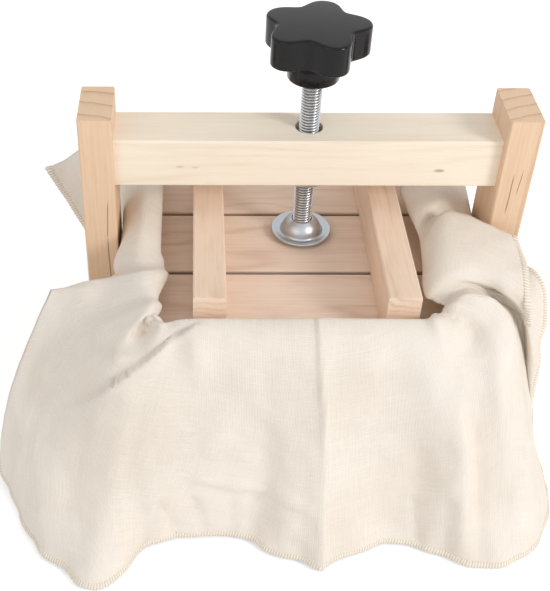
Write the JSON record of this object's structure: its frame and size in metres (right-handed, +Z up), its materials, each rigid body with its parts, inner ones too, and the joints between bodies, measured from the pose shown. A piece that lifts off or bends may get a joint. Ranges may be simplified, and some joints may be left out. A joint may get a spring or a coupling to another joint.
{
  "type": "tofu press",
  "caption": "Wooden screw press: post-and-beam frame on a slatted base, a mould box lined with draped cheesecloth, a battened lid and a star-knob screw with a swivel foot.",
  "frame": {"origin": "on the table, under the middle of the top beam", "axes": "+X from the left post to the right post, +Y towards the back of the press, +Z up along the screw"},
  "size_m": [0.241, 0.212, 0.185],
  "materials": {
    "pale_wood": "planed, unvarnished",
    "post_wood": "planed, unvarnished",
    "lid_wood": "planed, unvarnished",
    "base_wood": "planed, unvarnished",
    "zinc_steel": "bright zinc plate",
    "insert_brass": "turned",
    "black_plastic": "gloss moulded",
    "cheesecloth": "unbleached plain weave cotton"
  },
  "bodies": {
    "frame": {"left_post": "post_wood", "right_post": "post_wood", "top_beam": "pale_wood", "beam_nut": "zinc_steel", "left_bearer": "base_wood", "right_bearer": "base_wood", "cross_rail": "base_wood", "front_slat": "base_wood", "front_inner_slat": "base_wood", "middle_slat": "base_wood", "back_inner_slat": "base_wood", "back_slat": "base_wood", "frame_screws": "zinc_steel", "slat_nails": "zinc_steel", "mould_front": "lid_wood", "mould_back": "lid_wood", "mould_left": "lid_wood", "mould_right": "lid_wood", "cloth_lining": "cheesecloth", "cloth_front": "cheesecloth", "cloth_right": "cheesecloth", "cloth_back": "cheesecloth", "cloth_left": "cheesecloth"},
    "foot": {"foot_cup": "zinc_steel", "foot_plate": "zinc_steel"},
    "screw": {"screw": "zinc_steel", "knob": "black_plastic", "knob_insert": "insert_brass"},
    "lid": {"front_plank": "lid_wood", "middle_plank": "lid_wood", "back_plank": "lid_wood", "left_batten": "lid_wood", "right_batten": "lid_wood", "lid_nails": "zinc_steel"}
  },
  "joints": [
    {"name": "screw_feed", "type": "slide", "parent": "frame", "child": "foot", "axis": [0, 0, 1], "range_m": [-0.0215, 0.01]},
    {"name": "screw_turn", "type": "hinge", "parent": "foot", "child": "screw", "pos_m": [0.001, 0, 0.1], "axis": [0, 0, 1], "range_deg": [-6193, 2881]},
    {"name": "lid_drop", "type": "slide", "parent": "foot", "child": "lid", "axis": [0, 0, 1], "range_m": [-0.01, 0]}
  ],
  "couplings": [
    {"joint": "screw_turn", "follows": "screw_feed", "rad_per_m": 5026.5}
  ]
}
